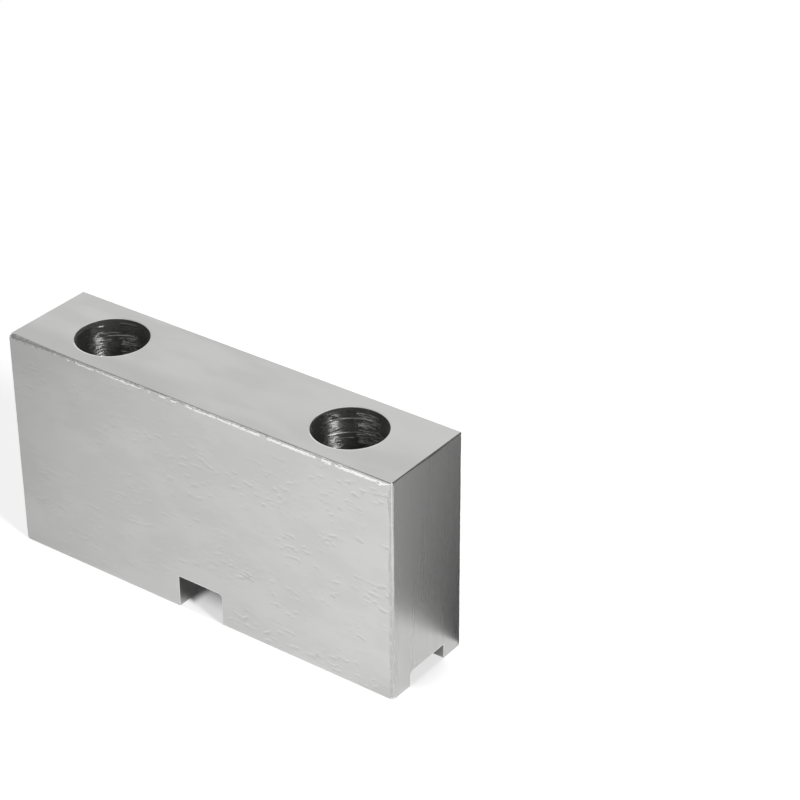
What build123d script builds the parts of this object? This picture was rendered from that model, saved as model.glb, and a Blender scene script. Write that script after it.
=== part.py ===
from build123d import *
import os

# Blank top jaw for a lathe chuck, in soft steel, to be bored or stepped to suit the work.
# Millimetres. The origin is in the middle of the base, +X runs along the jaw,
# +Y runs across it and +Z points up to the side the screws go in from.

# Block
jaw_length = 120.0
jaw_width = 28.0
jaw_height = 62.0
edge_break = 0.3  # every outer edge, taken off by hand at 45 degrees

# Cap screws that hold the jaw on the chuck's sliding jaw
screw_pitch = 75.0
screw_diameter = 12.0
screw_head_diameter = 18.0
shank_clearance = 0.75  # gap all round the shank
head_clearance = 0.625  # gap all round the head
seat_height = 26.0  # from the base up to the seat of the screw head
seat_corner_radius = 0.4  # left by the counterboring cutter
mouth_break = 0.3  # rim of the counterbore in the top face
seat_rim_break = 0.6  # clears the fillet under the screw head

# Keyway along the jaw
long_keyway_width = 14.0
long_keyway_depth = 4.2

# Keyway across the jaw
cross_keyway_width = 14.0
cross_keyway_depth = 9.2

# Both keyways: one ceiling corner keeps the cutter's radius, the other is cleaned out
cutter_corner_radius = 1.2
clean_corner_radius = 0.2
keyway_break = 0.3  # the slot's edges in the base

# Each cut starts this far outside the face that it opens
run_out = 1.0

# Sizes that follow from the ones above
shank_hole_radius = screw_diameter / 2 + shank_clearance
counterbore_radius = screw_head_diameter / 2 + head_clearance
counterbore_depth = jaw_height - seat_height


def keyway_section(plane, slot_width, slot_depth, cutter_side):
    """Section of a slot that opens downwards, drawn on an upright plane.

    cutter_side is -1 or 1, the side whose ceiling corner keeps the cutter's radius.
    """
    half_width = slot_width / 2
    mouth = half_width + keyway_break + run_out
    with BuildSketch(plane) as section:
        with BuildLine():
            Polyline(
                (-mouth, -run_out),
                (-half_width, keyway_break),
                (-half_width, slot_depth),
                (half_width, slot_depth),
                (half_width, keyway_break),
                (mouth, -run_out),
                close=True,
            )
        make_face()
        ceiling_corners = section.vertices().group_by(Axis.Y)[-1].sort_by(Axis.X)
        left_radius, right_radius = cutter_corner_radius, clean_corner_radius
        if cutter_side > 0:
            left_radius, right_radius = right_radius, left_radius
        fillet(ceiling_corners[0], radius=left_radius)
        ceiling_corners = section.vertices().group_by(Axis.Y)[-1].sort_by(Axis.X)
        fillet(ceiling_corners[-1], radius=right_radius)
    return section.sketch


def circles_at(part, radius, height):
    """Round edges of one radius that lie level at one height."""
    level = part.edges().filter_by(GeomType.CIRCLE).filter_by_position(Axis.Z, height, height)
    return level.filter_by(lambda edge: abs(edge.radius - radius) < 1e-6)


# Sawn block, ground on all six sides, with its twelve edges broken
with BuildPart() as soft_jaw:
    Box(jaw_length, jaw_width, jaw_height, align=(Align.CENTER, Align.CENTER, Align.MIN))
    chamfer(soft_jaw.edges(), length=edge_break)

    # Stepped screw holes from the top face, right through
    with Locations(Plane.XY.offset(jaw_height)):
        with GridLocations(screw_pitch, 0, 2, 1):
            CounterBoreHole(
                radius=shank_hole_radius,
                counter_bore_radius=counterbore_radius,
                counter_bore_depth=counterbore_depth,
            )
    chamfer(circles_at(soft_jaw, counterbore_radius, jaw_height), length=mouth_break)
    fillet(circles_at(soft_jaw, counterbore_radius, seat_height), radius=seat_corner_radius)
    chamfer(circles_at(soft_jaw, shank_hole_radius, seat_height), length=seat_rim_break)

    # Crossed keyways in the base: the one across is the deeper
    extrude(
        keyway_section(Plane.YZ, long_keyway_width, long_keyway_depth, cutter_side=-1),
        amount=jaw_length / 2 + run_out,
        both=True,
        mode=Mode.SUBTRACT,
    )
    extrude(
        keyway_section(Plane.XZ, cross_keyway_width, cross_keyway_depth, cutter_side=1),
        amount=jaw_width / 2 + run_out,
        both=True,
        mode=Mode.SUBTRACT,
    )

os.makedirs("parts", exist_ok=True)
export_step(soft_jaw.part, "parts/soft_jaw.step")
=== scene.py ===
import math

import bmesh
import bpy
from mathutils import Matrix, Vector, noise


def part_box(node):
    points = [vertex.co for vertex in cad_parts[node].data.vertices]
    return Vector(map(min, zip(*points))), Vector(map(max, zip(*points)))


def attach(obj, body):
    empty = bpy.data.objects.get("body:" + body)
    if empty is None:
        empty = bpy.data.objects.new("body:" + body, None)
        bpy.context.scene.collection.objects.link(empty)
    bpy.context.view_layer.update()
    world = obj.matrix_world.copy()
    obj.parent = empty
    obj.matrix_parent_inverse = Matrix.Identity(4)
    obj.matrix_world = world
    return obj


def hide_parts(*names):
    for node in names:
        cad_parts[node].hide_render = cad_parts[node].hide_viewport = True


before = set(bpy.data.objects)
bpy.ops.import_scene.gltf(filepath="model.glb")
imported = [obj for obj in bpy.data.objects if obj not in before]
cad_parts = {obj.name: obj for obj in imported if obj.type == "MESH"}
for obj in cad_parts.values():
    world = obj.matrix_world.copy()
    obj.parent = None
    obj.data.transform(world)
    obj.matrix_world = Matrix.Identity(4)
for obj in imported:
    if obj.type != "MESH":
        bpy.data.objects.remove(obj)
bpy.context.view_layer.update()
print("soft jaw: frame loaded")

mm = 0.001  # the jaw is drawn in millimetres and its mesh is turned to metres at the end

# Camera, where the photograph was taken from
shot = {
    "standsAt": (347.35, -402.53, 371.65),  # mm from the middle of the jaw's base
    "azimuth": 36.252,
    "elevation": 30.741,
    "roll": -0.263,
    "lens": 113.18,
    "sensor": 36.0,
    "clip": (0.01, 20.0),  # m
}


def placeCamera():
    cameraData = bpy.data.cameras.new("photoCamera")
    cameraData.lens = shot["lens"]
    cameraData.sensor_width = shot["sensor"]
    cameraData.clip_start, cameraData.clip_end = shot["clip"]
    camera = bpy.data.objects.new("photoCamera", cameraData)
    bpy.context.scene.collection.objects.link(camera)
    turn = Matrix.Rotation(math.radians(shot["azimuth"]), 4, "Z")
    tilt = Matrix.Rotation(math.radians(90.0 - shot["elevation"]), 4, "X")
    roll = Matrix.Rotation(math.radians(shot["roll"]), 4, "Z")
    camera.matrix_world = Matrix.Translation(Vector(shot["standsAt"]) * mm) @ turn @ tilt @ roll
    bpy.context.scene.camera = camera


placeCamera()
bpy.context.scene.view_settings.view_transform = "Standard"
print("soft jaw: camera placed")


# Small tools for the materials

def hexToLinear(hexColour):
    channels = [int(hexColour[start:start + 2], 16) / 255.0 for start in (1, 3, 5)]
    linear = [c / 12.92 if c <= 0.04045 else ((c + 0.055) / 1.055) ** 2.4 for c in channels]
    return (*linear, 1.0)


# Adds a node with its settings and inputs. An input is a value, a socket to link, or a node whose
# first output is linked
def addNode(tree, kind, settings=None, inputs=None):
    node = tree.nodes.new(kind)
    for name, value in (settings or {}).items():
        setattr(node, name, value)
    for socket, value in (inputs or {}).items():
        if isinstance(value, bpy.types.Node):
            value = value.outputs[0]
        if isinstance(value, bpy.types.NodeSocket):
            tree.links.new(value, node.inputs[socket])
        else:
            node.inputs[socket].default_value = value
    return node


def newMaterial(name):
    material = bpy.data.materials.new(name)
    material.use_nodes = True
    material.node_tree.nodes.clear()
    return material


# Marks of a wheel or a cutter: noise drawn out along one direction, as a height. With two levels
# it also gives how much of the marks shows, from least below the first level to 1 above the
# second. size is a mark's size in mm along X, Y and Z, and lowered moves the marks by so many sizes
def toolMarks(tree, size, levels=None, detail=2.0, lowered=0.0, least=0.0):
    place = addNode(tree, "ShaderNodeTexCoord")
    fitted = addNode(tree, "ShaderNodeVectorMath", {"operation": "MULTIPLY_ADD"}, {
        0: place.outputs["Object"],
        1: [1.0 / (part * mm) for part in size],
        2: (0.0, 0.0, lowered),
    })
    height = addNode(tree, "ShaderNodeTexNoise", None, {
        "Vector": fitted,
        "Scale": 1.0,
        "Detail": detail,
        "Roughness": 0.5,
    })
    if levels is None:
        return height, None
    shown = addNode(tree, "ShaderNodeMapRange", {"interpolation_type": "SMOOTHSTEP"}, {
        "Value": height,
        "From Min": levels[0],
        "From Max": levels[1],
        "To Min": least,
        "To Max": 1.0,
    })
    return height, shown


# Share of something that fades in several ways at once. Each way is a share, or a distance and its
# stretch: from and to in mm, and the share at either
def shareOf(tree, *ways):
    whole = None
    for way in ways:
        if isinstance(way, tuple):
            distance, (start, end, shareAtStart, shareAtEnd) = way
            way = addNode(tree, "ShaderNodeMapRange", {"interpolation_type": "SMOOTHSTEP"}, {
                "Value": distance,
                "From Min": start * mm,
                "From Max": end * mm,
                "To Min": shareAtStart,
                "To Max": shareAtEnd,
            })
        if whole is None:
            whole = way
        else:
            whole = addNode(tree, "ShaderNodeMath", {"operation": "MULTIPLY"}, {0: whole, 1: way})
    return whole


# Lays colours over the first one, each as far as its share shows
def layColours(tree, first, *layers):
    colour = hexToLinear(first)
    for share, hexColour in layers:
        colour = addNode(tree, "ShaderNodeMix", {"data_type": "RGBA"}, {
            "Factor": share,
            "A": colour,
            "B": hexToLinear(hexColour),
        }).outputs["Result"]
    return colour


# Low-carbon steel in one finish, bumped by the height of its marks. Its highlight is drawn out
# across the tool marks, along the U of the marks' own map, so anisotropy is a number on the shader
# itself. Where roughMarks are given, they make it rougher and smoother by turns
def steelShader(tree, finish, colour, height, roughMarks=None):
    inputs = {
        "Base Color": colour,
        "Metallic": 1.0,
        "Roughness": finish["roughness"],
        "Anisotropic": finish["anisotropy"],
        "Normal": addNode(tree, "ShaderNodeBump", None, {
            "Height": height,
            "Distance": finish["depth"] * mm,
            "Strength": 1.0,
        }),
    }
    if roughMarks:
        low, high, spread = finish["roughening"]
        inputs["Roughness"] = addNode(tree, "ShaderNodeMapRange", {"interpolation_type": "SMOOTHSTEP"}, {
            "Value": roughMarks,
            "From Min": low,
            "From Max": high,
            "To Min": finish["roughness"] - spread,
            "To Max": finish["roughness"] + spread,
        })
    if finish["anisotropy"]:
        inputs["Tangent"] = addNode(tree, "ShaderNodeTangent", {
            "direction_type": "UV_MAP",
            "uv_map": "toolMarks",
        })
    shader = addNode(tree, "ShaderNodeBsdfPrincipled", None, inputs)
    addNode(tree, "ShaderNodeOutputMaterial", None, {"Surface": shader})


# In each finish below, depth is the height of its marks in mm, levels are those at which marks start
# to show and show in full, and roughening is two levels of the marks that make it rougher, and how
# far its roughness goes either way between them

# Ground top: an even satin, faintly clouded, with hardly any grain to see. Painted shade makes it a little
# darker along its front edge on the left half, and a painted sheen makes it paler at the back right
groundTop = {
    "colour": "#D4D4D3",
    "cloudColour": "#D9D9D8",
    "paintedSheenColour": "#DDDDDC",
    "paintedShadeColour": "#CDCDCC",
    "roughness": 0.30,
    "roughening": (0.0, 1.0, -0.02),
    "anisotropy": 0.3,
    "cloud": (22.0, 8.0, 30.0),
    "cloudLevels": (0.35, 0.65),
    # Where the painted sheen and the painted shade lie, along X and across Y
    "paintedSheenAlong": (8.0, 30.0, 0.0, 1.0),
    "paintedSheenAcross": (-6.0, 4.0, 0.0, 1.0),
    "paintedShadeAlong": (8.0, -14.0, 0.0, 1.0),
    "paintedShadeAcross": (-4.0, -10.0, 0.0, 1.0),
    "grain": (40.0, 0.6, 10.0),  # a fine wheel's scratches, drawn coarse enough to show
    "grainDetail": 3.0,
    "depth": 0.0006,
}


def makeGroundTop():
    material = newMaterial("surfaceGroundSteelTop")
    tree = material.node_tree
    grain, _ = toolMarks(tree, groundTop["grain"], detail=groundTop["grainDetail"])
    _, cloud = toolMarks(tree, groundTop["cloud"], groundTop["cloudLevels"])
    place = addNode(tree, "ShaderNodeTexCoord").outputs["Object"]
    along, across, _ = addNode(tree, "ShaderNodeSeparateXYZ", None, {"Vector": place}).outputs
    # Painted sheen at the back right and painted shade along the front edge's left half
    paintedSheen = shareOf(tree, (along, groundTop["paintedSheenAlong"]), (across, groundTop["paintedSheenAcross"]))
    paintedShade = shareOf(tree, (along, groundTop["paintedShadeAlong"]), (across, groundTop["paintedShadeAcross"]))
    colour = layColours(
        tree,
        groundTop["colour"],
        (cloud, groundTop["cloudColour"]),
        (paintedSheen, groundTop["paintedSheenColour"]),
        (paintedShade, groundTop["paintedShadeColour"]),
    )
    steelShader(tree, groundTop, colour, grain, cloud)
    return material


# Ground long sides: satin, with faint short flecks. Each fleck has painted light along one side and
# painted shade along the other, as a small dent shows under light. They lie in patches and are thicker
# towards +X
groundSide = {
    "colour": "#D4D4D3",
    "cloudColour": "#CFCFCE",
    "fleckPaintedShade": "#C5C5C4",
    "fleckPaintedLight": "#DCDCDB",
    "roughness": 0.27,
    "anisotropy": 0.35,
    "cloud": (17.0, 30.0, 9.0),
    "cloudLevels": (0.38, 0.62),
    "cloudDetail": 4.0,
    "fleck": (2.6, 30.0, 1.0),
    "fleckLevels": (0.55, 0.70),
    "fleckDetail": 3.0,
    "fleckDrop": 0.55,  # of a fleck's height, from its light side down to its dark one
    "thicker": (-20.0, 24.0, 0.45, 1.0),  # from and to along X, and the flecks' share at either
    "patch": (15.0, 30.0, 8.0),
    "patchLevels": (0.40, 0.60),
    "besidePatch": 0.12,  # share of the flecks outside the patches
    "grain": (60.0, 30.0, 0.4),  # drawn coarse enough to show, as on the top
    "grainDetail": 3.0,
    "depth": 0.00015,
}


# How much of each fleck's painted light and painted shade shows at each place of a side
def paintedFleckLightAndShade(tree):
    place = addNode(tree, "ShaderNodeTexCoord").outputs["Object"]
    along = addNode(tree, "ShaderNodeSeparateXYZ", None, {"Vector": place}).outputs["X"]
    _, patch = toolMarks(tree, groundSide["patch"], groundSide["patchLevels"],
                         least=groundSide["besidePatch"])
    shown = shareOf(tree, (along, groundSide["thicker"]), patch)
    shares = []
    for lowered in (0.0, groundSide["fleckDrop"]):
        _, flecks = toolMarks(tree, groundSide["fleck"], groundSide["fleckLevels"],
                              groundSide["fleckDetail"], lowered)
        shares.append(shareOf(tree, shown, flecks))
    return shares


def makeGroundSide():
    material = newMaterial("surfaceGroundSteelSide")
    tree = material.node_tree
    # The flecks' painted light and painted shade
    light, dark = paintedFleckLightAndShade(tree)
    grain, _ = toolMarks(tree, groundSide["grain"], detail=groundSide["grainDetail"])
    _, cloud = toolMarks(tree, groundSide["cloud"], groundSide["cloudLevels"], groundSide["cloudDetail"])
    colour = layColours(
        tree,
        groundSide["colour"],
        (cloud, groundSide["cloudColour"]),
        (light, groundSide["fleckPaintedLight"]),
        (dark, groundSide["fleckPaintedShade"]),
    )
    steelShader(tree, groundSide, colour, grain)
    return material


# Ground ends: soft upright bands and lines, which smear light sideways
groundEnd = {
    "colour": "#D3D3D2",
    "bandColour": "#CFCFCE",
    "roughness": 0.27,
    "roughening": (0.3, 0.7, 0.006),
    "anisotropy": 0.75,
    "band": (30.0, 2.4, 60.0),
    "bandLevels": (0.40, 0.62),
    "line": (30.0, 0.6, 45.0),  # drawn coarse enough to show, as on the top
    "depth": 0.00002,
}


def makeGroundEnd():
    material = newMaterial("surfaceGroundSteelEnd")
    tree = material.node_tree
    bands, bandShare = toolMarks(tree, groundEnd["band"], groundEnd["bandLevels"])
    lines, _ = toolMarks(tree, groundEnd["line"])
    colour = layColours(tree, groundEnd["colour"], (bandShare, groundEnd["bandColour"]))
    steelShader(tree, groundEnd, colour, lines, bands)
    return material


# Bored walls: fine turned rings that draw light out up and down. Their dark colour is partly painted shade
# of the hole's inside
boredWall = {
    "colour": "#9A9A99",
    "roughness": 0.35,
    "anisotropy": 0.95,
    "ring": (6.0, 6.0, 0.22),  # about a fine feed of the tool
    "ringDetail": 3.0,
    "depth": 0.010,
}


def makeBoredWall():
    material = newMaterial("counterboredSteel")
    tree = material.node_tree
    rings, _ = toolMarks(tree, boredWall["ring"], detail=boredWall["ringDetail"])
    steelShader(tree, boredWall, hexToLinear(boredWall["colour"]), rings)
    return material


# Clean stretch of a counterbore near its mouth: smooth, dull and dark
cleanWall = {
    "colour": "#A2A2A1",
    "nickColour": "#ABABAA",
    "roughness": 0.45,
    "anisotropy": 0.0,
    "nick": (4.0, 4.0, 0.3),
    "nickLevels": (0.40, 0.60),
    "depth": 0.006,
}

# Counterbore stretch with painted shade: as the clean one, but darker
paintedShadeWall = {
    "colour": "#747473",
    "nickColour": "#7E7E7D",
    "roughness": 0.45,
    "anisotropy": 0.0,
    "nick": (4.0, 4.0, 0.3),
    "nickLevels": (0.40, 0.60),
    "depth": 0.006,
}

# Scored stretches of a counterbore: deep drawn-out marks, whose upper flanks look out of the mouth and so
# catch the light. Their near-white colour adds painted light
scoredWall = {
    "colour": "#F2F2F1",
    "nickColour": "#A8A8A7",
    "roughness": 0.72,
    "anisotropy": 0.0,
    "nick": (2.6, 2.6, 0.3),
    "nickLevels": (0.42, 0.60),
    "depth": 0.06,
}

# Torn stretches of a counterbore: scored too, lighter in specks, with a bright upright streak
tornWall = {
    "colour": "#7E7E7D",
    "nickColour": "#C2C2C1",
    "roughness": 0.40,
    "anisotropy": 0.94,
    "nick": (1.2, 1.2, 0.26),
    "nickLevels": (0.44, 0.62),
    "depth": 0.022,
}

# Ridges and scores round a counterbore: thin and dull. They stand proud and catch light, and their pale
# colour adds a painted highlight, so they show as light arcs
turnedRidge = {
    "colour": "#CCCCCB",
    "nickColour": "#B4B4B3",
    "roughness": 0.45,
    "anisotropy": 0.0,
    "nick": (1.2, 1.2, 0.3),
    "nickLevels": (0.45, 0.60),
    "depth": 0.02,
}

nickDetail = 3.0  # of the nicks in every finish that has them


# Steel in two tones, nicked or pitted at random
def makeNickedSteel(name, finish):
    material = newMaterial(name)
    tree = material.node_tree
    nicks, share = toolMarks(tree, finish["nick"], finish["nickLevels"], nickDetail)
    colour = layColours(tree, finish["colour"], (share, finish["nickColour"]))
    steelShader(tree, finish, colour, nicks)
    return material


# Milled keyways: a slot cutter's lines along the slot, a little coarser than the ground faces. The long
# keyway is darker with painted shade
milledKeyway = {
    "longPaintedShadeColour": "#AAAAA9",  # the long keyway is darker: painted shade
    "crossColour": "#C2C2C1",
    "roughness": 0.33,
    "roughening": (0.3, 0.7, 0.05),
    "anisotropy": 0.5,
    "line": 0.35,
    "lineLength": 25.0,
    "depth": 0.004,
}


def makeMilledKeyway(name, alongAxis, colour):
    material = newMaterial(name)
    tree = material.node_tree
    size = [milledKeyway["line"]] * 3
    size[alongAxis] = milledKeyway["lineLength"]
    lines, _ = toolMarks(tree, size)
    steelShader(tree, milledKeyway, hexToLinear(colour), lines, lines)
    return material


# Broken edges: filed by hand, so bright, ragged and scratched all ways
brokenEdge = {
    "colour": "#F0F0EF",
    "roughness": 0.32,
    "roughening": (0.3, 0.7, 0.06),
    "anisotropy": 0.0,
    "scratch": (0.5, 0.5, 0.5),
    "scratchDetail": 4.0,
    "depth": 0.010,
}


def makeBrokenEdge():
    material = newMaterial("filedSteelEdge")
    tree = material.node_tree
    scratches, _ = toolMarks(tree, brokenEdge["scratch"], detail=brokenEdge["scratchDetail"])
    steelShader(tree, brokenEdge, hexToLinear(brokenEdge["colour"]), scratches, scratches)
    return material


# Rubbed strip beside an edge: scuffed and dull, with brighter flecks
rubbedStrip = {
    "colour": "#BDBDBC",
    "nickColour": "#E6E6E5",
    "roughness": 0.45,
    "anisotropy": 0.0,
    "nick": (0.9, 0.9, 0.35),
    "nickLevels": (0.50, 0.62),
    "depth": 0.02,
}

# Strip beside an upright edge: only lightly scuffed
scuffedStrip = {
    "colour": "#C7C7C6",
    "nickColour": "#D4D4D3",
    "roughness": 0.42,
    "anisotropy": 0.0,
    "nick": (1.2, 1.2, 1.6),
    "nickLevels": (0.48, 0.62),
    "depth": 0.006,
}

# Top edge of the +X end, with painted shade, so it shows as a dark line
paintedShadeEdge = {
    "colour": "#585857",
    "nickColour": "#707070",
    "roughness": 0.5,
    "anisotropy": 0.0,
    "nick": (0.8, 0.8, 0.3),
    "nickLevels": (0.50, 0.62),
    "depth": 0.02,
}

# Burr: the thin metal pushed up along an edge, bright, torn and nicked
brightBurr = {
    "colour": "#FFFFFF",
    "nickColour": "#BEBEBD",
    "roughness": 0.32,
    "anisotropy": 0.0,
    "nick": (0.9, 0.9, 0.25),
    "nickLevels": (0.56, 0.68),
    "depth": 0.04,
}

# Every mesh below has all the finishes in this order, so a cut keeps its own
finishes = {
    "top": makeGroundTop(),
    "side": makeGroundSide(),
    "end": makeGroundEnd(),
    "bore": makeBoredWall(),
    "clean": makeNickedSteel("cleanCounterboreSteel", cleanWall),
    # A counterbore stretch with painted shade
    "paintedShade": makeNickedSteel("paintedShadeCounterboreSteel", paintedShadeWall),
    # Scored stretches, lightened by painted light
    "scored": makeNickedSteel("scoredCounterboreSteel", scoredWall),
    "torn": makeNickedSteel("tornCounterboreSteel", tornWall),
    # Ridges, pale with painted highlight
    "ridge": makeNickedSteel("turnedSteelRidge", turnedRidge),
    # The long keyway's darker colour is painted shade
    "longKeyway": makeMilledKeyway("milledSteelLongKeyway", 0, milledKeyway["longPaintedShadeColour"]),
    "crossKeyway": makeMilledKeyway("milledSteelCrossKeyway", 1, milledKeyway["crossColour"]),
    "edge": makeBrokenEdge(),
    # The +X end's top edge, with painted shade
    "paintedShadeEdge": makeNickedSteel("paintedShadeSteelEdge", paintedShadeEdge),
    "strip": makeNickedSteel("rubbedSteelStrip", rubbedStrip),
    "scuff": makeNickedSteel("scuffedSteelStrip", scuffedStrip),
    "burr": makeNickedSteel("brightSteelBurr", brightBurr),
}
finishOrder = list(finishes)
print("soft jaw: finishes made")

# The jaw's own sizes. The block's outer sizes come from the frame
low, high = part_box("soft_jaw")
jaw = {
    "length": (high[0] - low[0]) / mm,
    "width": (high[1] - low[1]) / mm,
    "height": (high[2] - low[2]) / mm,
    "screwPitch": 75.0,
    "counterboreRadius": 9.625,
    "shankRadius": 6.75,
    "seatHeight": 26.0,
    "seatCorner": 0.4,
    "mouthBreak": (0.36, 0.05),  # wide and deep
    "seatRimBreak": 0.6,
    "keywayHalfWidth": 7.0,
    "longKeywayDepth": 4.2,
    "crossKeywayDepth": 9.2,
    "cutterCorner": 1.2,
    "cleanCorner": 0.2,
    "keywayBreak": 0.3,
    "outlineBreak": (0.14, 0.26, 0.07),  # across, up and deep, where a keyway comes out of a face
    "runOut": 1.0,  # each cutter starts this far outside the block
}
halfBlock = (jaw["length"] / 2, jaw["width"] / 2, jaw["height"] / 2)

# The outer edges were broken by hand, so each wanders along its length. Waves say how a size
# varies: each is a share of it, and the length in mm that it changes over
edgeWear = {
    "step": 0.25,  # mm between sections along an edge
    "rows": 4,  # faces across a broken edge
    "flatShare": 0.6,  # of a broken edge's section, and the rest is round
    "roomShare": 0.8,  # of the distance to a corner, for the wear of edges that meet there
    "mostRoom": 0.9,  # of that room, for a broken edge
    "cornerInset": 0.3,  # where the three edges give way to the rounded corner
    "wornCorners": {(-1, -1, 1): 1.0, (-1, -1, -1): 0.7, (1, -1, -1): 0.9, (1, 1, -1): 0.6},
    "cornerDepth": 0.3,  # of the rounded corner's middle below each face, as a share of the inset
    "width": 0.22,  # of the broken edge
    "widthWaves": ((0.16, 5.0), (0.12, 0.9)),
    "uprightWidth": (0.2, 0.75),  # of the upright edges at the +X end, across the side and the end
    "endTopWidth": 0.28,  # of the top edge of the +X end, down the end
    "endTopMore": (0.36, 3.0, 5.0),  # and how much more, around a place along Y and over a length
    "topWidth": (0.26, 0.17),  # of the top edges along the long sides, from the -X to the +X end
    "leftWidth": 1.0,  # the top front edge opens out to this at its -X end
    "leftRun": 24.0,
}

# Rubbed strips on the long sides, beside the top edges and the upright edges at the +X end
stripWear = {
    "width": 0.45,
    "widthWaves": ((0.25, 3.0), (0.22, 0.7)),
    "uprightWidth": 0.75,
    "uprightWaves": ((0.5, 6.0),),
    "mostRoom": 0.35,  # of what a broken edge leaves
    "dip": 0.03,  # below the face
    "dipWaves": ((0.5, 0.7),),
    "dipEnds": (0.3, 3.3),  # mm from an end, from no dip to all of it
    "dipPlaces": (3.0, -0.35, 0.0),  # it comes and goes over so many mm, between two levels
    "leastDip": 0.2,  # share of the dip from which the strip looks rubbed
    "uprightDip": 0.012,
}

# Burrs stand in places along a strip's border. How burred a place is goes from 0 to 1.8
burrWear = {
    "height": 0.06,
    "slope": 0.16,  # the most height for a burr's width
    "width": 0.22,
    "widthShares": (0.5, 1.2, 0.5),  # of that width: at least, by how burred it is, and at random
    "widthOver": 0.8,  # mm over which it changes at random
    "mostRoom": 0.2,  # of what a broken edge leaves
    "comesOver": 3.4,  # mm over which burrs come and go
    "breaks": (0.7, 1.1, 1.2),  # shorter breaks: share, mm, and how burred a place without them is
    "levels": (-0.08, 0.10),  # between which a burr rises
    "burredMore": 0.25,  # how much more of them there is in a burred place
    "leastShown": 0.2,  # share of a burr from which it looks like one
    "start": (16.0, 24.0),  # mm from the -X end, from none to all
    "thin": 0.4,  # how burred the top edges are, before they thicken to 1
    "thickens": (-0.3, 0.8),  # along X, as shares of half the jaw's length
    "endMore": 0.8,  # how much more burred they are at the +X end
    "endRun": (6.0, 2.0),  # mm from the +X end, from none of it to all
}


# Smooth random value from -1 to 1 that changes over a given length in mm. Each seed follows a line
# of its own through the noise
def wander(along, over, seed):
    return noise.noise(Vector((along / over, 7.3 * seed, 1.7)))


# Factor about 1 that varies by the given waves
def uneven(along, waves, seed):
    factor = 1.0
    for number, (share, over) in enumerate(waves):
        factor += share * wander(along, over, seed + number)
    return factor


def eased(value, low, high):
    share = min(max((value - low) / (high - low), 0.0), 1.0)
    return share * share * (3.0 - 2.0 * share)


# One section of a broken edge, as (below the first face, below the second face). widths are how
# far it goes across the second and the first face. room is how far it may, because edges that
# meet in a corner leave each other less and less
def brokenSection(along, widths, room, seed):
    factor = uneven(along, edgeWear["widthWaves"], seed)
    acrossSecond, acrossFirst = [min(width * factor, edgeWear["mostRoom"] * room) for width in widths]
    flat = edgeWear["flatShare"]
    section = []
    for step in range(edgeWear["rows"] + 1):
        share = step / edgeWear["rows"]
        angle = share * math.pi / 2
        first = flat * share + (1.0 - flat) * (1.0 - math.cos(angle))
        second = flat * (1.0 - share) + (1.0 - flat) * (1.0 - math.sin(angle))
        section.append((acrossSecond * first, acrossFirst * second))
    return section


# Height and width of the burr at a place, and whether it looks like one
def burrAt(along, burred, left, seed):
    share, over, unbroken = burrWear["breaks"]
    there = wander(along, burrWear["comesOver"], seed + 5)
    there += share * wander(along, over, seed + 8) * (unbroken - burred)
    there = min(burred, 1.0) * eased(there + burrWear["burredMore"] * burred, *burrWear["levels"])
    least, more, random = burrWear["widthShares"]
    width = least + more * burred + random * wander(along, burrWear["widthOver"], seed + 7)
    width = min(burrWear["width"] * width, burrWear["mostRoom"] * left)
    height = there * min(burrWear["height"], burrWear["slope"] * width)
    return height, width, there > burrWear["leastShown"]


# Goes on from a broken edge across the second face, with a rubbed strip and then a burr that is
# there only in places. Gives the points and the burr's finishes
def rubbedSection(section, along, strip, dip, burred, room, seed):
    left = room - section[-1][0]
    burrHeight, burrWidth, shown = burrAt(along, burred, left, seed)
    strip *= uneven(along, stripWear["widthWaves"], seed + 3)
    strip = min(strip, stripWear["mostRoom"] * left)
    border = section[-1][0] + strip
    section = [(first, max(second, dip)) for first, second in section]
    section.append((border - 0.5 * strip, dip * uneven(along, stripWear["dipWaves"], seed + 6)))
    section.append((border, 0.5 * dip))
    section.append((border + burrWidth, -burrHeight))
    section.append((border + 2 * burrWidth, 0.0))
    return section, ["burr" if shown else "side"] * 2


# Top edge of a long side, rubbed and burred. The front one opens out at its -X end
def topEdgeStation(side, along, room, seed):
    reach = halfBlock[0]
    fromLeft = along + reach
    leftWidth, rightWidth = edgeWear["topWidth"]
    width = leftWidth + (rightWidth - leftWidth) * eased(fromLeft, 0.0, 2 * reach)
    if side < 0:
        width += (edgeWear["leftWidth"] - width) * (1.0 - eased(fromLeft, 0.0, edgeWear["leftRun"]))
    section = brokenSection(along, (width, width), room, seed)
    over, *levels = stripWear["dipPlaces"]
    dip = stripWear["dip"] * eased(reach - abs(along), *stripWear["dipEnds"])
    dip *= eased(wander(along, over, seed + 2), *levels)
    burred = eased(fromLeft, *burrWear["start"])
    burred *= burrWear["thin"] + (1.0 - burrWear["thin"]) * eased(
        along, *[share * reach for share in burrWear["thickens"]])
    burred += burrWear["endMore"] * eased(along, *[reach - run for run in burrWear["endRun"]])
    section, rowFinishes = rubbedSection(section, along, stripWear["width"], dip, burred, room, seed)
    rubbed = dip > stripWear["leastDip"] * stripWear["dip"]
    rowFinishes = ["edge"] * edgeWear["rows"] + ["strip" if rubbed else "side"] * 2 + rowFinishes
    return [(second, first) for first, second in reversed(section)], rowFinishes[::-1]


# Upright edge at the +X end, broken further across the end than across the side, and lightly
# scuffed beside it
def uprightEdgeStation(along, room, seed):
    section = brokenSection(along, edgeWear["uprightWidth"], room, seed)
    strip = stripWear["uprightWidth"] * uneven(along, stripWear["uprightWaves"], seed + 2)
    section, rowFinishes = rubbedSection(section, along, strip, stripWear["uprightDip"], 0.0, room, seed)
    return section, ["side"] * edgeWear["rows"] + ["scuff"] * 2 + rowFinishes


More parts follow.
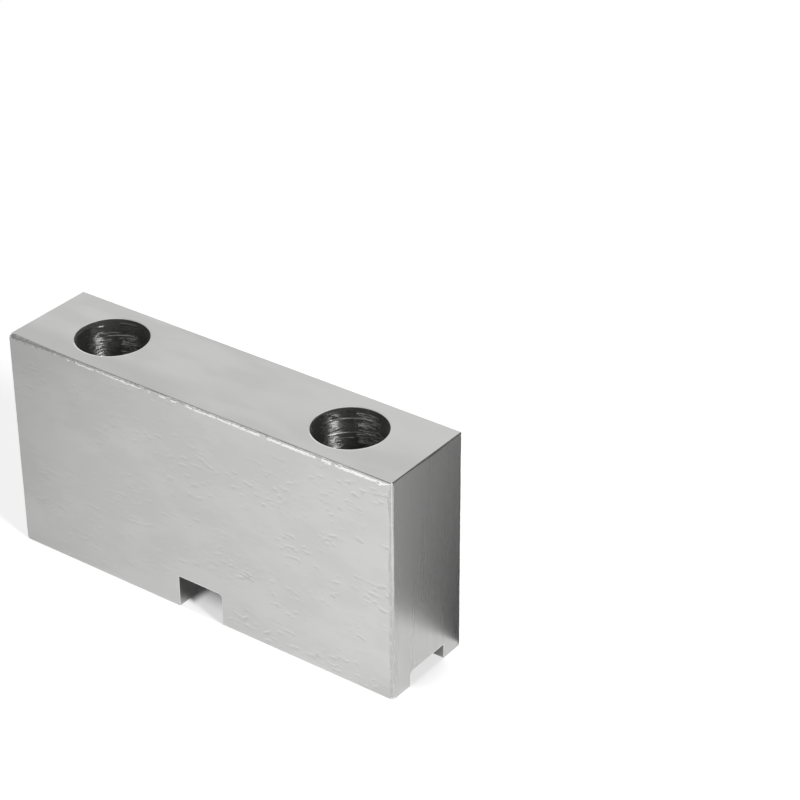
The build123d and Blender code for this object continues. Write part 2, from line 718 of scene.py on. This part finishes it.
# Top edge of the +X end, broken unevenly, with painted shade
def endTopStation(along, room, seed):
    more, place, over = edgeWear["endTopMore"]
    down = edgeWear["endTopWidth"] + more * math.exp(-((along - place) / over) ** 2)
    section = brokenSection(along, (down, edgeWear["width"]), room, seed)
    return section, ["paintedShadeEdge"] * edgeWear["rows"]


# Rows of points along one edge of the block, with faces between them. Each station is a list of
# (below the first face, below the second face) and the finishes between them
def makeEdge(mesh, axis, beforeSide, afterSide):
    before, after = (axis + 1) % 3, (axis + 2) % 3
    sides = {axis: -1, before: beforeSide, after: afterSide}
    start = cornerInset(sides) - halfBlock[axis]
    end = halfBlock[axis] - cornerInset({**sides, axis: 1})
    count = round((end - start) / edgeWear["step"])
    seed = 100 * axis + 10 * beforeSide + afterSide
    stations = []
    for number in range(count + 1):
        along = start + (end - start) * number / count
        room = edgeWear["roomShare"] * (halfBlock[axis] - abs(along))
        if axis == 0 and afterSide > 0:
            section, rowFinishes = topEdgeStation(beforeSide, along, room, seed)
        elif axis == 2 and beforeSide > 0:
            section, rowFinishes = uprightEdgeStation(along, room, seed)
        elif axis == 1 and beforeSide > 0 and afterSide > 0:
            section, rowFinishes = endTopStation(along, room, seed)
        else:
            widths = (edgeWear["width"], edgeWear["width"])
            section = brokenSection(along, widths, room, seed)
            rowFinishes = ["edge"] * edgeWear["rows"]
        points = []
        for beforeDepth, afterDepth in section:
            place = [0.0, 0.0, 0.0]
            place[axis] = along
            place[before] = beforeSide * (halfBlock[before] - beforeDepth)
            place[after] = afterSide * (halfBlock[after] - afterDepth)
            points.append(mesh.verts.new(place))
        if stations:
            for spot, finish in enumerate(rowFinishes):
                corners = (stations[-1][spot], points[spot], points[spot + 1], stations[-1][spot + 1])
                addFace(mesh, corners, finish)
        stations.append(points)
    return list(zip(*stations))


# How far from the block's corner its edges end. sides gives -1 or 1 for each axis
def cornerInset(sides):
    corner = (sides[0], sides[1], sides[2])
    return edgeWear["wornCorners"].get(corner, edgeWear["cornerInset"])


def addFace(mesh, corners, finish):
    face = mesh.faces.new(corners)
    face.material_index = finishOrder.index(finish)


# Block: twelve broken edges, a rounded corner where three of them meet, and six flat faces
def makeBlock(mesh):
    edges = {}
    for axis in range(3):
        for beforeSide in (-1, 1):
            for afterSide in (-1, 1):
                edges[axis, beforeSide, afterSide] = makeEdge(mesh, axis, beforeSide, afterSide)
    for xSide in (-1, 1):
        for ySide in (-1, 1):
            for zSide in (-1, 1):
                sides = (xSide, ySide, zSide)
                depth = edgeWear["cornerDepth"] * cornerInset(sides)
                rim = []
                for axis in range(3):
                    rows = edges[axis, sides[(axis + 1) % 3], sides[(axis + 2) % 3]]
                    rim += [row[-1 if sides[axis] > 0 else 0] for row in rows]
                middle = mesh.verts.new([side * (half - depth) for side, half in zip(sides, halfBlock)])
                for first, second in zip(rim, rim[1:] + rim[:1]):
                    addFace(mesh, (first, second, middle), "edge")
    for axis, finish in enumerate(("end", "side", "top")):
        first, second = (axis + 1) % 3, (axis + 2) % 3
        for side in (-1, 1):
            outline = edges[first, -1, side][-1] + edges[second, side, 1][0]
            outline += edges[first, 1, side][-1][::-1] + edges[second, side, -1][0][::-1]
            addFace(mesh, outline, finish)
    bmesh.ops.translate(mesh, verts=mesh.verts, vec=(0.0, 0.0, halfBlock[2]))


# Joins closed rings of points into a solid, with a flat cap at each end. There is a list of
# finishes for each band between two rings, one for each face of the band
def joinRings(mesh, rings, bandFinishes):
    made = [[mesh.verts.new(point) for point in ring] for ring in rings]
    for ring, nextRing, band in zip(made, made[1:], bandFinishes):
        for spot, finish in enumerate(band):
            following = (spot + 1) % len(ring)
            corners = (ring[spot], ring[following], nextRing[following], nextRing[spot])
            addFace(mesh, corners, finish)
    addFace(mesh, made[0][::-1], bandFinishes[0][0])
    addFace(mesh, made[-1], bandFinishes[-1][0])


# Slot cutter: (across, up) round the keyway, with one ceiling corner still round from the cutter.
# The slot is widened by spread on both sides and raised by lift
def keywaySection(depth, roundedSide, spread, lift):
    halfWidth = jaw["keywayHalfWidth"] + spread
    ceiling = depth + lift
    mouth = halfWidth + jaw["keywayBreak"] + jaw["runOut"]
    arcSteps = 8
    section = [(-mouth, -jaw["runOut"]), (-halfWidth, jaw["keywayBreak"])]
    for side in (-1, 1):
        radius = min(spread, lift) + jaw["cutterCorner" if side == roundedSide else "cleanCorner"]
        arc = []
        for step in range(arcSteps + 1):
            angle = math.pi / 2 * step / arcSteps
            across = side * (halfWidth - radius + radius * math.cos(angle))
            arc.append((across, ceiling - radius + radius * math.sin(angle)))
        section += arc if side < 0 else arc[::-1]
    section += [(halfWidth, jaw["keywayBreak"]), (mouth, -jaw["runOut"])]
    return section


def makeKeywayCutter(mesh, axis, depth, roundedSide, finish):
    reach = halfBlock[axis]
    breakAcross, breakUp, breakDepth = jaw["outlineBreak"]
    further = 1.0 + jaw["runOut"] / breakDepth
    flare = (breakAcross * further, breakUp * further)
    stations = (
        (-reach - jaw["runOut"], flare),
        (-reach + breakDepth, (0.0, 0.0)),
        (reach - breakDepth, (0.0, 0.0)),
        (reach + jaw["runOut"], flare),
    )
    rings = []
    for along, (spread, lift) in stations:
        section = keywaySection(depth, roundedSide, spread, lift)
        rings.append([(along, across, up) if axis == 0 else (across, along, up) for across, up in section])
    joinRings(mesh, rings, [[band] * len(rings[0]) for band in ("edge", finish, "edge")])


# Stepped screw holes. Each counterbore's wall has turned marks of its own
bores = {
    "segments": 180,
    "shownDepth": 13.0,  # as far down as it shows from outside, and drawn finely
    "fineStep": 0.12,
    "coarseStep": 1.5,
    "cornerSteps": 6,
    "roughening": 0.012,
    "roughTurns": 2.2,  # changes of the wall's roughness in a radian
    "roughRise": 0.35,
    "fullDepth": 0.5,  # mm below the top, from where the wall is fully rough and ridged
    "streakTurn": 0.24,  # of a radian, the length of a streak
    "streakRise": 0.34,
    "streakLevel": 0.45,  # that a streak and how marked a place is reach together, to show
    "markedShare": {"torn": 0.68, "scored": 0.72, "ridge": 0.7, "clean": 0.8, "paintedShade": 1.0},
    "markedEnds": (0.4, 1.3),  # shares of half a stretch's length, where it thins out and is over
    "markedFade": 0.5,  # mm of depth over which a stretch comes and goes
    "cleanWanders": (0.3, 9.0),  # mm that the clean wall's border varies, and over how many degrees
    "cleanStreak": 0.05,  # below it a streak further down is clean too
    "ridgeShown": 0.035,  # mm proud, from where a ridge has its own finish
    "ridgeEnds": 0.7,  # share of half a ridge's length, from where it dies away
    "ridgeVaries": (0.75, 0.5, 14.0),  # share of its height, how much that varies, and over degrees
    "dullMouth": ((52.0, 66.0), (205.0, 26.0)),  # stretches of the mouth that hardly show
}

# Ridges round a counterbore: depth and thickness in mm, how far each stands proud, and the middle
# and half the length of its stretch in degrees. Marked stretches: from and to in mm of depth, their
# middle and half their length in degrees, and their finish. The wall is clean down to cleanDepth
leftBore = {
    "seed": 3.1,
    "cleanDepth": 3.2,
    "ridges": (
        (1.85, 0.34, 0.12, 150.0, 6.0),
        (1.4, 0.50, 0.14, 106.0, 17.0),
        (4.1, 0.30, 0.12, 137.0, 19.0),
        (4.85, 0.30, 0.14, 118.0, 31.0),
        (6.1, 0.34, 0.12, 143.0, 11.0),
    ),
    "marked": (
        (4.0, 5.4, 138.0, 12.0, "torn"),
        (5.2, 7.0, 144.0, 12.0, "torn"),
        (7.0, 13.5, 147.0, 8.0, "torn"),
        (4.0, 6.4, 105.0, 15.0, "scored"),
        (6.2, 13.5, 102.0, 18.0, "scored"),
        # The last stretch has painted shade
        (1.0, 13.5, 184.0, 20.0, "paintedShade"),
    ),
}
rightBore = {
    "seed": 8.6,
    "cleanDepth": 1.1,
    "ridges": (
        (1.3, 0.34, 0.10, 150.0, 8.0),
        (1.8, 0.50, 0.12, 103.0, 13.0),
        (3.15, 0.30, 0.16, 124.0, 53.0),
        (7.1, 0.30, 0.16, 123.0, 43.0),
        (8.6, 0.30, 0.12, 136.0, 19.0),
        (8.4, 0.30, 0.08, 88.0, 10.0),
    ),
    "marked": (
        (2.9, 7.2, 143.0, 12.0, "torn"),
        (7.3, 13.5, 145.0, 10.0, "torn"),
        (1.2, 10.5, 97.0, 19.0, "scored"),
        (2.0, 9.0, 72.0, 12.0, "ridge"),
        # The last stretch has painted shade
        (0.2, 13.5, 184.0, 20.0, "paintedShade"),
    ),
}


def degreesAway(degrees, middle):
    return abs((degrees - middle + 180.0) % 360.0 - 180.0)


# Random value from -1 to 1 on a counterbore's wall, which changes so many times in a radian and
# over the given rise
def wallWander(bore, depth, angle, turns, rise):
    around = (turns * math.cos(angle), turns * math.sin(angle))
    return noise.noise(Vector((*around, depth / rise + bore["seed"])))


# How far the wall stands proud at a place. Each ridge varies by a seed from its own depth
def ridgeHeight(ridges, depth, degrees):
    share, varies, over = bores["ridgeVaries"]
    height = 0.0
    for ridgeDepth, thickness, proud, middle, halfSpan in ridges:
        there = 1.0 - eased(degreesAway(degrees, middle), bores["ridgeEnds"] * halfSpan, halfSpan)
        there *= share + varies * wander(degrees, over, 10.0 * ridgeDepth)
        height = max(height, proud * there * math.exp(-((depth - ridgeDepth) / (0.5 * thickness)) ** 2))
    return height


# Finish of one small face of a counterbore. The tool's marks draw out along the rings, so the
# marked stretches break up into streaks at their borders
def wallFinish(bore, depth, angle):
    degrees = math.degrees(angle)
    if ridgeHeight(bore["ridges"], depth, degrees) > bores["ridgeShown"]:
        return "ridge"
    streak = wallWander(bore, depth, angle, 1.0 / bores["streakTurn"], bores["streakRise"])
    fade = bores["markedFade"]
    for start, end, middle, halfSpan, finish in bore["marked"]:
        thins, over = [share * halfSpan for share in bores["markedEnds"]]
        marked = 1.0 - eased(degreesAway(degrees, middle), thins, over)
        marked *= eased(depth, start, start + fade) * (1.0 - eased(depth, end - fade, end))
        if streak + bores["markedShare"][finish] * marked > bores["streakLevel"]:
            return finish
    varies, over = bores["cleanWanders"]
    if depth < bore["cleanDepth"] + varies * wander(degrees, over, bore["seed"]):
        return "clean"
    return "clean" if streak < bores["cleanStreak"] else "bore"


# Profile from the top down, as (radius, height), with the finish below each point. None is for
# the wall that shows, whose finish depends on the place
def boreProfile():
    top, seat = jaw["height"], jaw["seatHeight"]
    wide, narrow = jaw["counterboreRadius"], jaw["shankRadius"]
    corner, rimBreak = jaw["seatCorner"], jaw["seatRimBreak"]
    mouthWidth, mouthDepth = jaw["mouthBreak"]
    flare = mouthWidth / mouthDepth
    profile = [(wide + mouthWidth + flare * jaw["runOut"], top + jaw["runOut"], "edge")]
    height = top - mouthDepth
    fineEnd = top - bores["shownDepth"]
    while height > fineEnd:
        profile.append((wide, height, None))
        height -= bores["fineStep"]
    while height > seat + corner + bores["coarseStep"]:
        profile.append((wide, height, "bore"))
        height -= bores["coarseStep"]
    for step in range(bores["cornerSteps"] + 1):
        angle = math.pi / 2 * step / bores["cornerSteps"]
        inward, lift = 1.0 - math.cos(angle), 1.0 - math.sin(angle)
        profile.append((wide - corner * inward, seat + corner * lift, "bore"))
    profile.append((narrow + rimBreak, seat, "edge"))
    profile.append((narrow, seat - rimBreak, "bore"))
    profile.append((narrow, -jaw["runOut"], "bore"))
    return profile


def makeBoreCutter(mesh, middleX, bore):
    top = jaw["height"]
    count = bores["segments"]
    circles = []
    bands = []
    for radius, height, finish in boreProfile():
        circle = []
        band = []
        depth = top - height
        for spot in range(count):
            angle = 2 * math.pi * spot / count
            degrees = math.degrees(angle)
            reach = radius
            if finish is None:
                shown = eased(depth, jaw["mouthBreak"][1], bores["fullDepth"])
                rough = wallWander(bore, depth, angle, bores["roughTurns"], bores["roughRise"])
                reach += shown * bores["roughening"] * rough
                reach -= shown * ridgeHeight(bore["ridges"], depth, degrees)
                band.append(wallFinish(bore, depth, angle))
            elif depth < 0.0 and any(degreesAway(degrees, middle) < halfSpan
                                     for middle, halfSpan in bores["dullMouth"]):
                band.append("top")
            else:
                band.append(finish)
            circle.append((middleX + reach * math.cos(angle), reach * math.sin(angle), height))
        circles.append(circle)
        bands.append(band)
    joinRings(mesh, circles, bands[:-1])


def newPiece(name, build, *values):
    mesh = bmesh.new()
    build(mesh, *values)
    bmesh.ops.recalc_face_normals(mesh, faces=mesh.faces)
    data = bpy.data.meshes.new(name)
    mesh.to_mesh(data)
    mesh.free()
    for material in finishes.values():
        data.materials.append(material)
    piece = bpy.data.objects.new(name, data)
    bpy.context.scene.collection.objects.link(piece)
    return piece


def cutAway(piece, cutters):
    for cutter in cutters:
        modifier = piece.modifiers.new("cut", "BOOLEAN")
        modifier.operation = "DIFFERENCE"
        modifier.solver = "EXACT"
        modifier.object = cutter
    bpy.context.view_layer.update()
    cut = piece.evaluated_get(bpy.context.evaluated_depsgraph_get())
    data = bpy.data.meshes.new_from_object(cut)
    data.name = piece.name
    piece.modifiers.clear()
    piece.data = data
    for cutter in cutters:
        bpy.data.objects.remove(cutter)


# Map of the tool marks in mm: U runs across them and V along them
def acrossAndAlong(finish, point, middle):
    if finish == "top":
        return point.y, point.x
    if finish == "end":
        return point.y, point.z
    if finish == "longKeyway":
        return point.y - math.copysign(point.z, middle.y), point.x
    if finish == "crossKeyway":
        return point.x - math.copysign(point.z, middle.x), point.y
    if finish in ("bore", "torn"):
        axisX = math.copysign(jaw["screwPitch"] / 2, middle.x)
        radius = math.hypot(point.x - axisX, point.y)
        middleAngle = math.atan2(middle.y, middle.x - axisX)
        angle = math.atan2(point.y, point.x - axisX)
        angle += 2 * math.pi * round((middleAngle - angle) / (2 * math.pi))
        return point.z + radius, angle * jaw["counterboreRadius"]
    return point.z, point.x


def mapToolMarks(data):
    marks = data.uv_layers.new(name="toolMarks")
    for face in data.polygons:
        finish = finishOrder[face.material_index]
        middle = face.center
        for corner in face.loop_indices:
            point = data.vertices[data.loops[corner].vertex_index].co
            marks.data[corner].uv = acrossAndAlong(finish, point, middle)


# The block's flat faces are shaded flat, and all else smooth up to a crease
shading = {
    "flat": ("top", "side", "end", "longKeyway", "crossKeyway"),
    "square": 0.99999,  # part of a face's normal along an axis, from which the face counts as flat
    "crease": 30.0,
}


def shadeFaces(data):
    data.set_sharp_from_angle(angle=math.radians(shading["crease"]))
    for face in data.polygons:
        square = max(abs(part) for part in face.normal) > shading["square"]
        face.use_smooth = not (square and finishOrder[face.material_index] in shading["flat"])


def makeJaw():
    piece = newPiece("softJaw", makeBlock)
    print("soft jaw: block made,", len(piece.data.polygons), "faces")
    cutters = [
        newPiece("longKeywayCutter", makeKeywayCutter, 0, jaw["longKeywayDepth"], -1, "longKeyway"),
        newPiece("crossKeywayCutter", makeKeywayCutter, 1, jaw["crossKeywayDepth"], 1, "crossKeyway"),
        newPiece("leftBoreCutter", makeBoreCutter, -jaw["screwPitch"] / 2, leftBore),
        newPiece("rightBoreCutter", makeBoreCutter, jaw["screwPitch"] / 2, rightBore),
    ]
    cutAway(piece, cutters)
    mapToolMarks(piece.data)
    shadeFaces(piece.data)
    piece.data.transform(Matrix.Scale(mm, 4))
    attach(piece, "root")
    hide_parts("soft_jaw")
    print("soft jaw: cut,", len(piece.data.polygons), "faces")


makeJaw()

# Studio: a pale floor, a key lamp for the steel, a lamp for the paper, and a room that is bright behind
# the jaw. The floor's white carries painted shadow and painted shade, and a painted dark reflection that
# only the steel sees. Where something on the floor fades, its entry gives the distance that it fades by,
# from and to in mm, and its share at either. Lamps and the floor's size are in metres
studio = {
    "floorHalf": 4.0,
    "floorColour": "#F0F0F0",
    "whiteSeen": 1.26,  # strength of the floor's own white, where the camera sees it
    "whiteReflected": 1.1,  # and where the steel sees it
    "floorWhiteShare": 0.6,  # and how much of it lies over the lit paper
    "slant": (1.0, -0.735, 0.0),  # painted shade dims the floor in front to the left along this direction, as the steel sees it
    "farLeft": ("slant", -75.0, -20.0, 0.60, 1.0),
    "nearLeft": ("slant", -70.0, 100.0, 0.67, 1.0),
    "behind": ("y", -12.0, 20.0, 0.0, 1.0),  # the floor behind the jaw is white again
    "shadeMiddle": (80.0, 4.0),  # mm, the shaded floor beside the jaw's right end
    "shade": ("shadeMiddle", 16.0, 42.0, 0.61, 1.0),
    "footSeen": ("outside", -0.6, 0.5, 0.83, 1.0),  # painted shadow makes the floor darker at the jaw's foot
    "underSeen": ("outside", -14.0, -2.5, 0.05, 1.0),  # and more so under it
    "underReflected": ("faded", -6.5, 0.8, 0.10, 1.0),
    "endFall": 2.0,  # light fades this much faster from the ends, whose keyway is lower
    "tunnelSeen": ("fromMiddle", 4.2, 7.3, 1.0, 0.10),  # painted shadow, dark in the long keyway, beside the crossing
    "tunnelFront": ("beyondSide", -5.0, -2.5, 0.0, 1.0),
    "tunnelEnd": ("beyondEnd", -25.0, -8.0, 0.0, 1.0),
    "besideEnd": (57.0, 0.0),  # mm, painted shadow on the floor under and beside the jaw's right end
    "besideEndSeen": ("besideEnd", 4.0, 16.0, 0.67, 1.0),
    "paintedReflectionColour": "#888888",  # behind the jaw's right end the steel sees a painted dark reflection on the floor
    "paintedReflectionNear": "#535353",
    "paintedReflectionFurthest": "#CCCCCC",
    "paintedReflectionAlong": (-1.4, 1.0, 0.0),  # direction in which the painted reflection's colours change
    "paintedReflectionDarkens": ("paintedReflectionAlong", -88.0, -72.0, 0.0, 1.0),
    "paintedReflectionPales": ("paintedReflectionAlong", -130.0, -98.0, 1.0, 0.0),
    "paintedReflectionAcross": (-0.11, 1.0, 0.0),  # direction square to its front edge
    "paintedReflectionFront": ("paintedReflectionAcross", 7.7, 8.3, 0.0, 1.0),
    "paintedReflectionLeft": ("x", 58.0, 61.0, 0.0, 1.0),
    "paintedReflectionRight": ("x", 190.0, 240.0, 1.0, 0.0),
    "paintedReflectionBack": ("y", 190.0, 240.0, 1.0, 0.0),
    "keyPlace": (1.10, 0.0, 1.05),
    "keySize": 0.4,
    "keyPower": 24.0,
    "paperLampPlace": (1.322, -0.317, 0.634),  # 25 degrees up, to the right and a little in front
    "paperLampSize": 0.25,
    "paperLampPower": 36.0,
    "wallStands": (-0.45, 0.80, -0.40),  # direction of the bright back wall
    "wallSpread": (-0.5, 1.0),  # where the room starts to turn brighter towards it, and is brightest
    "wall": 1.22,
    "room": 0.26,  # brightness of the dim room on the camera's side
}


# The distances that the floor's white fades by. Beyond the end or the side counts from the block's
# outline, and is negative under the block
def floorDistances(tree):
    place = addNode(tree, "ShaderNodeTexCoord").outputs["Object"]
    x, y, _ = addNode(tree, "ShaderNodeSeparateXYZ", None, {"Vector": place}).outputs
    distances = {"x": x, "y": y}
    for name in ("slant", "paintedReflectionAlong", "paintedReflectionAcross"):
        distances[name] = addNode(tree, "ShaderNodeVectorMath", {"operation": "DOT_PRODUCT"}, {
            0: place,
            1: studio[name],
        }).outputs["Value"]
    for name in ("shadeMiddle", "besideEnd"):
        distances[name] = addNode(tree, "ShaderNodeVectorMath", {"operation": "DISTANCE"}, {
            0: place,
            1: [part * mm for part in (*studio[name], 0.0)],
        }).outputs["Value"]
    distances["fromMiddle"] = addNode(tree, "ShaderNodeMath", {"operation": "ABSOLUTE"}, {0: x})
    aside = addNode(tree, "ShaderNodeMath", {"operation": "ABSOLUTE"}, {0: y})
    for name, fromMiddle, half in (
        ("beyondEnd", distances["fromMiddle"], halfBlock[0]),
        ("beyondSide", aside, halfBlock[1]),
    ):
        distances[name] = addNode(tree, "ShaderNodeMath", {"operation": "SUBTRACT"}, {
            0: fromMiddle,
            1: half * mm,
        })
    fallen = addNode(tree, "ShaderNodeMath", {"operation": "MULTIPLY"}, {
        0: distances["beyondEnd"],
        1: studio["endFall"],
    })
    for name, end in (("outside", distances["beyondEnd"]), ("faded", fallen)):
        distances[name] = addNode(tree, "ShaderNodeMath", {"operation": "MAXIMUM"}, {
            0: end,
            1: distances["beyondSide"],
        })
    return distances


# Share of the floor's white that several things leave together. Each is the name of a stretch in
# studio, or a share
def floorShare(tree, distances, *ways):
    return shareOf(tree, *[
        (distances[studio[way][0]], studio[way][1:]) if isinstance(way, str) else way for way in ways
    ])


# The steel sees a floor with painted shade: dimmer in front of the jaw's left end and beside its right
# end, and dark under it
def floorReflected(tree, distances):
    dimmed = addNode(tree, "ShaderNodeMath", {"operation": "MAXIMUM"}, {
        0: floorShare(tree, distances, "farLeft", "nearLeft"),
        1: floorShare(tree, distances, "behind"),
    })
    return floorShare(tree, distances, dimmed, "shade", "underReflected")


# The camera sees painted shadow on it: darker at the jaw's foot and under it, and darkest in the long
# keyway
def floorSeen(tree, distances):
    tunnel = floorShare(tree, distances, "tunnelSeen")
    for name in ("tunnelFront", "tunnelEnd"):
        tunnel = addNode(tree, "ShaderNodeMath", {"operation": "MAXIMUM"}, {
            0: tunnel,
            1: floorShare(tree, distances, name),
        })
    return floorShare(tree, distances, "footSeen", "underSeen", tunnel, "besideEndSeen")


# Matt paper that shows the lamps' light and shadow, and its own white over that, darkened by painted
# shadow where the camera sees it and by painted shade where the steel sees it
def makePaperSweep():
    material = newMaterial("paperSweep")
    tree = material.node_tree
    distances = floorDistances(tree)
    rays = addNode(tree, "ShaderNodeLightPath").outputs
    whites = [addNode(tree, "ShaderNodeEmission", None, {
        "Strength": shareOf(tree, share, studio[strength]),
    }) for share, strength in (
        (floorSeen(tree, distances), "whiteSeen"),
        (floorReflected(tree, distances), "whiteReflected"),
    )]
    white = addNode(tree, "ShaderNodeMixShader", None, {
        0: rays["Is Glossy Ray"],
        1: whites[0],
        2: whites[1],
    })
    direct = rays["Is Camera Ray"]
    for name in ("Is Glossy Ray", "Is Transmission Ray"):
        direct = addNode(tree, "ShaderNodeMath", {"operation": "MAXIMUM"}, {0: direct, 1: rays[name]})
    paper = addNode(tree, "ShaderNodeMixShader", None, {
        0: shareOf(tree, direct, studio["floorWhiteShare"]),
        1: addNode(tree, "ShaderNodeBsdfDiffuse", None, {"Color": hexToLinear(studio["floorColour"])}),
        2: white,
    })

    # Only the steel sees the painted dark reflection on the floor behind the jaw's right end
    paintedReflectionShare = floorShare(tree, distances, "paintedReflectionFront", "paintedReflectionLeft", "paintedReflectionRight", "paintedReflectionBack")
    paintedReflectionColour = layColours(
        tree,
        studio["paintedReflectionColour"],
        (floorShare(tree, distances, "paintedReflectionDarkens"), studio["paintedReflectionNear"]),
        (floorShare(tree, distances, "paintedReflectionPales"), studio["paintedReflectionFurthest"]),
    )
    withPaintedReflection = addNode(tree, "ShaderNodeMixShader", None, {
        0: shareOf(tree, rays["Is Glossy Ray"], paintedReflectionShare),
        1: paper,
        2: addNode(tree, "ShaderNodeEmission", None, {"Color": paintedReflectionColour}),
    })
    addNode(tree, "ShaderNodeOutputMaterial", None, {"Surface": withPaintedReflection})
    return material


def makeFloor():
    mesh = bmesh.new()
    reach = studio["floorHalf"]
    corners = [(-reach, -reach), (reach, -reach), (reach, reach), (-reach, reach)]
    mesh.faces.new([mesh.verts.new((x, y, 0.0)) for x, y in corners])
    data = bpy.data.meshes.new("floor")
    mesh.to_mesh(data)
    mesh.free()
    data.materials.append(makePaperSweep())
    floor = bpy.data.objects.new("floor", data)
    bpy.context.scene.collection.objects.link(floor)


def makeWorld():
    world = bpy.data.worlds.new("studio")
    bpy.context.scene.world = world
    world.use_nodes = True
    tree = world.node_tree
    tree.nodes.clear()
    direction = addNode(tree, "ShaderNodeTexCoord")
    towardsWall = addNode(tree, "ShaderNodeVectorMath", {"operation": "DOT_PRODUCT"}, {
        0: direction.outputs["Generated"],
        1: studio["wallStands"],
    })
    bright = addNode(tree, "ShaderNodeMapRange", {"interpolation_type": "SMOOTHSTEP"}, {
        "Value": towardsWall.outputs["Value"],
        "From Min": studio["wallSpread"][0],
        "From Max": studio["wallSpread"][1],
        "To Min": studio["room"],
        "To Max": studio["wall"],
    })
    rays = addNode(tree, "ShaderNodeLightPath")
    seen = addNode(tree, "ShaderNodeMixShader", None, {
        0: rays.outputs["Is Camera Ray"],
        1: addNode(tree, "ShaderNodeBackground", None, {"Strength": bright}),
        2: addNode(tree, "ShaderNodeBackground", None, {"Strength": 1.0}),
    })
    addNode(tree, "ShaderNodeOutputWorld", None, {"Surface": seen})


# The steel reflects only the key lamp, and only the other one lights the paper
def makeLamp(name, place, size, power, lightsPaper):
    data = bpy.data.lights.new(name, "AREA")
    data.shape = "SQUARE"
    data.size = size
    data.energy = power
    lamp = bpy.data.objects.new(name, data)
    lamp.location = place
    aim = Vector((0.0, 0.0, halfBlock[2] * mm)) - Vector(place)
    lamp.rotation_euler = aim.to_track_quat("-Z", "Y").to_euler()
    lamp.visible_diffuse = lightsPaper
    lamp.visible_glossy = not lightsPaper
    bpy.context.scene.collection.objects.link(lamp)


makeFloor()
makeWorld()
makeLamp("keyLamp", studio["keyPlace"], studio["keySize"], studio["keyPower"], False)
makeLamp("paperLamp", studio["paperLampPlace"], studio["paperLampSize"], studio["paperLampPower"], True)
print("soft jaw: studio lit")
